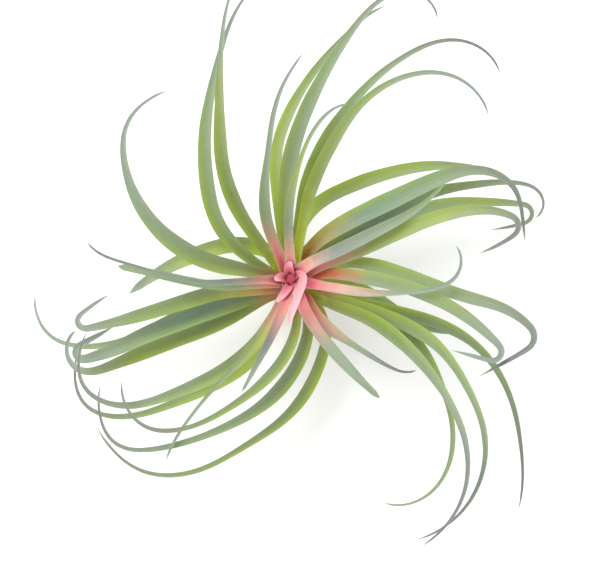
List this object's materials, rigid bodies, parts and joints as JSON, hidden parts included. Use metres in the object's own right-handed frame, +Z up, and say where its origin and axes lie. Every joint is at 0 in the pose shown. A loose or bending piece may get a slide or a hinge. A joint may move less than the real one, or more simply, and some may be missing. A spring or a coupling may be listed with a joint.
{
  "type": "bromeliad",
  "caption": "Bare bromeliad rosette, an air plant: long channelled leaves sweep round from a short stem, arch and curl back at the tips.",
  "frame": {"origin": "centre of the stem's flat cut underside, on the surface the plant rests on", "axes": "+Z up the stem's axis; +Y towards the longest leaves; +X to the right of them, seen from above"},
  "size_m": [0.2314, 0.2554, 0.109],
  "materials": {
    "stem": "matte",
    "outer_leaf": "satin",
    "middle_leaf": "satin",
    "inner_leaf": "satin",
    "heart_leaf": "satin"
  },
  "bodies": {
    "root": {"stem": "stem", "outer_leaf_01": "outer_leaf", "outer_leaf_02": "outer_leaf", "outer_leaf_03": "outer_leaf", "outer_leaf_04": "outer_leaf", "outer_leaf_05": "outer_leaf", "outer_leaf_06": "outer_leaf", "outer_leaf_07": "outer_leaf", "outer_leaf_08": "outer_leaf", "outer_leaf_09": "outer_leaf", "outer_leaf_10": "outer_leaf", "outer_leaf_11": "outer_leaf", "outer_leaf_12": "outer_leaf", "outer_leaf_13": "outer_leaf", "outer_leaf_14": "outer_leaf", "outer_leaf_15": "outer_leaf", "outer_leaf_16": "outer_leaf", "outer_leaf_17": "outer_leaf", "outer_leaf_18": "outer_leaf", "outer_leaf_19": "outer_leaf", "outer_leaf_20": "outer_leaf", "middle_leaf_01": "middle_leaf", "middle_leaf_02": "middle_leaf", "middle_leaf_03": "middle_leaf", "middle_leaf_04": "middle_leaf", "middle_leaf_05": "middle_leaf", "middle_leaf_06": "middle_leaf", "middle_leaf_07": "middle_leaf", "middle_leaf_08": "middle_leaf", "middle_leaf_09": "middle_leaf", "middle_leaf_10": "middle_leaf", "inner_leaf_01": "inner_leaf", "inner_leaf_02": "inner_leaf", "inner_leaf_03": "inner_leaf", "inner_leaf_04": "inner_leaf", "inner_leaf_05": "inner_leaf", "inner_leaf_06": "inner_leaf", "inner_leaf_07": "inner_leaf", "inner_leaf_08": "inner_leaf", "inner_leaf_09": "inner_leaf", "heart_leaf_01": "heart_leaf", "heart_leaf_02": "heart_leaf", "heart_leaf_03": "heart_leaf", "heart_leaf_04": "heart_leaf", "heart_leaf_05": "heart_leaf"}
  },
  "joints": []
}
